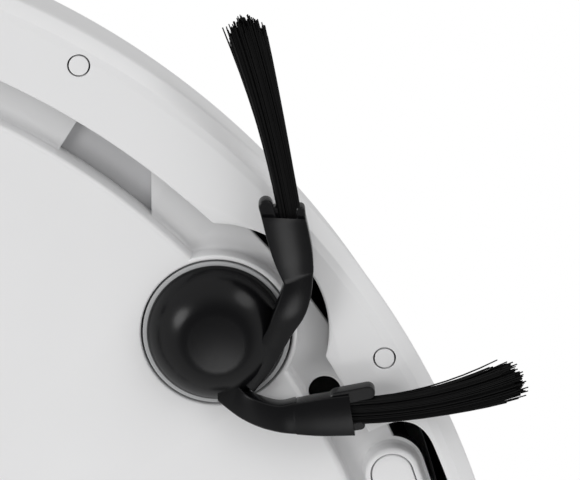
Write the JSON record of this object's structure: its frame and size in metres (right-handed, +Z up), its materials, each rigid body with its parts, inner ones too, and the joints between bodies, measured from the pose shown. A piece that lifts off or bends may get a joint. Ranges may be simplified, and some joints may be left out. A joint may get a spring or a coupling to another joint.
{
  "type": "robotic floor cleaner",
  "caption": "Round robotic floor cleaner with a sprung front bumper, laser turret, corner side brush, main brush roller, two sprung drive wheels, caster and pull-out dustbin.",
  "frame": {"origin": "on the floor under the middle of the body", "axes": "+Z up, +Y towards the front bumper, +X towards the robot's right-hand side, where the side brush is"},
  "size_m": [0.35, 0.35, 0.097],
  "materials": {
    "white_shell": "satin moulded white plastic",
    "sensor_grey": "grey infrared window",
    "smoked_window": "polished smoked window",
    "contact_metal": "plated spring contact",
    "black_plastic": "fine textured black plastic",
    "grey_plastic": "fine textured grey plastic",
    "light_grey_plastic": "smooth light grey plastic",
    "black_gloss": "polished black moulding",
    "bristle": "black nylon filaments",
    "gear_brass": "cut brass",
    "motor_steel": "drawn motor can",
    "brush_rubber": "soft moulded rubber",
    "tyre": "grippy black rubber",
    "bin_grey": "satin moulded plastic",
    "filter_media": "pleated paper",
    "battery_wrap": "heat-shrink sleeve",
    "circuit_board": "solder resist over laminate"
  },
  "bodies": {
    "chassis": {"base_chassis": "white_shell", "rear_shell": "white_shell", "top_cover": "white_shell", "turret_cap": "white_shell", "battery_cover": "white_shell", "brush_guard": "white_shell", "pad_cap_right": "white_shell", "pad_cap_left": "white_shell", "cliff_window_right": "sensor_grey", "cliff_window_left": "sensor_grey", "front_cliff_window_right": "smoked_window", "front_cliff_window_left": "smoked_window", "charge_contact_right": "contact_metal", "charge_contact_left": "contact_metal", "bumper_switch_right": "black_plastic", "bumper_switch_left": "black_plastic", "lidar_base": "black_plastic", "brush_housing": "black_plastic", "wheel_housing_right": "grey_plastic", "wheel_housing_left": "grey_plastic", "side_brush_gearbox": "grey_plastic", "caster_socket": "grey_plastic", "fan_housing": "grey_plastic", "side_brush_bezel": "light_grey_plastic", "side_brush_motor": "motor_steel", "brush_motor": "motor_steel", "fan_motor": "motor_steel", "battery_pack": "battery_wrap", "main_board": "circuit_board"},
    "bumper": {"bumper_shell": "white_shell", "bumper_window": "smoked_window", "bumper_plug_1": "white_shell", "bumper_plug_2": "white_shell", "bumper_plug_3": "white_shell", "bumper_plug_4": "white_shell"},
    "lidar_rotor": {"lidar_rotor": "black_plastic"},
    "home_button": {"home_button": "light_grey_plastic"},
    "power_button": {"power_button": "light_grey_plastic"},
    "side_brush": {"side_brush": "black_gloss", "side_tuft_1": "bristle", "side_tuft_2": "bristle", "side_brush_gear": "light_grey_plastic"},
    "side_brush_pinion": {"side_brush_pinion": "gear_brass"},
    "main_brush": {"main_brush": "brush_rubber"},
    "brush_idler": {"brush_idler_gear": "light_grey_plastic"},
    "brush_pinion": {"brush_motor_pinion": "gear_brass"},
    "guard_latch_right": {"guard_latch_right": "black_plastic"},
    "guard_latch_left": {"guard_latch_left": "black_plastic"},
    "suspension_right": {"wheel_gearbox_right": "black_plastic"},
    "suspension_left": {"wheel_gearbox_left": "black_plastic"},
    "wheel_right": {"wheel_hub_right": "grey_plastic", "wheel_tyre_right": "tyre"},
    "wheel_left": {"wheel_hub_left": "grey_plastic", "wheel_tyre_left": "tyre"},
    "caster_fork": {"caster_fork": "black_plastic"},
    "caster_wheel": {"caster_wheel": "tyre"},
    "dustbin": {"dustbin": "bin_grey", "dustbin_filter": "filter_media"},
    "bin_release": {"bin_release_button": "black_plastic"},
    "fan_impeller": {"fan_impeller": "light_grey_plastic"}
  },
  "joints": [
    {"name": "bumper_press", "type": "slide", "parent": "chassis", "child": "bumper", "axis": [0, -1, 0], "range_m": [0, 0.003], "stiffness_N_per_m": 300, "springref_m": -0.003},
    {"name": "lidar_spin", "type": "hinge", "parent": "chassis", "child": "lidar_rotor", "pos_m": [0, -0.025, 0.08], "axis": [0, 0, 1], "continuous": true},
    {"name": "home_press", "type": "slide", "parent": "chassis", "child": "home_button", "axis": [0, 0, -1], "range_m": [0, 0.001], "stiffness_N_per_m": 300, "springref_m": -0.002},
    {"name": "power_press", "type": "slide", "parent": "chassis", "child": "power_button", "axis": [0, 0, -1], "range_m": [0, 0.001], "stiffness_N_per_m": 300, "springref_m": -0.002},
    {"name": "side_brush_spin", "type": "hinge", "parent": "chassis", "child": "side_brush", "pos_m": [0.09004, 0.11199, 0.012], "axis": [0, 0, 1], "continuous": true},
    {"name": "side_brush_pinion_spin", "type": "hinge", "parent": "chassis", "child": "side_brush_pinion", "pos_m": [0.07939, 0.09874, 0.024], "axis": [0, 0, 1], "continuous": true},
    {"name": "main_brush_spin", "type": "hinge", "parent": "chassis", "child": "main_brush", "pos_m": [0, -0.042, 0.024], "axis": [1, 0, 0], "continuous": true},
    {"name": "brush_idler_spin", "type": "hinge", "parent": "chassis", "child": "brush_idler", "pos_m": [-0.0865, -0.03228, 0.04485], "axis": [1, 0, 0], "continuous": true},
    {"name": "brush_pinion_spin", "type": "hinge", "parent": "chassis", "child": "brush_pinion", "pos_m": [-0.0865, -0.01349, 0.05169], "axis": [1, 0, 0], "continuous": true},
    {"name": "guard_latch_right_slide", "type": "slide", "parent": "chassis", "child": "guard_latch_right", "axis": [1, 0, 0], "range_m": [0, 0.002]},
    {"name": "guard_latch_left_slide", "type": "slide", "parent": "chassis", "child": "guard_latch_left", "axis": [-1, 0, 0], "range_m": [0, 0.002]},
    {"name": "suspension_right_drop", "type": "hinge", "parent": "chassis", "child": "suspension_right", "pos_m": [0.1033, 0.022, 0.049], "axis": [1, 0, 0], "range_deg": [0, 22], "stiffness_Nm_per_rad": 0.15, "springref_deg": 22.92},
    {"name": "wheel_right_spin", "type": "hinge", "parent": "suspension_right", "child": "wheel_right", "pos_m": [0.12, -0.01, 0.035], "axis": [1, 0, 0], "continuous": true},
    {"name": "suspension_left_drop", "type": "hinge", "parent": "chassis", "child": "suspension_left", "pos_m": [-0.1033, 0.022, 0.049], "axis": [1, 0, 0], "range_deg": [0, 22], "stiffness_Nm_per_rad": 0.15, "springref_deg": 22.92},
    {"name": "wheel_left_spin", "type": "hinge", "parent": "suspension_left", "child": "wheel_left", "pos_m": [-0.12, -0.01, 0.035], "axis": [1, 0, 0], "continuous": true},
    {"name": "caster_swivel", "type": "hinge", "parent": "chassis", "child": "caster_fork", "pos_m": [0, 0.121, 0.02], "axis": [0, 0, 1], "continuous": true},
    {"name": "caster_roll", "type": "hinge", "parent": "caster_fork", "child": "caster_wheel", "pos_m": [0, 0.117, 0.012], "axis": [1, 0, 0], "continuous": true},
    {"name": "dustbin_pull", "type": "slide", "parent": "chassis", "child": "dustbin", "axis": [0, -1, 0], "range_m": [0, 0.1]},
    {"name": "bin_release_press", "type": "slide", "parent": "dustbin", "child": "bin_release", "axis": [0, 1, 0], "range_m": [0, 0.0015], "stiffness_N_per_m": 300, "springref_m": -0.002},
    {"name": "fan_spin", "type": "hinge", "parent": "chassis", "child": "fan_impeller", "pos_m": [-0.09, -0.088, 0.043], "axis": [1, 0, 0], "continuous": true}
  ],
  "couplings": [
    {"joint": "side_brush_pinion_spin", "follows": "side_brush_spin", "ratio": -2.4},
    {"joint": "brush_idler_spin", "follows": "main_brush_spin", "ratio": -0.53333},
    {"joint": "brush_pinion_spin", "follows": "main_brush_spin", "ratio": 1.6}
  ]
}
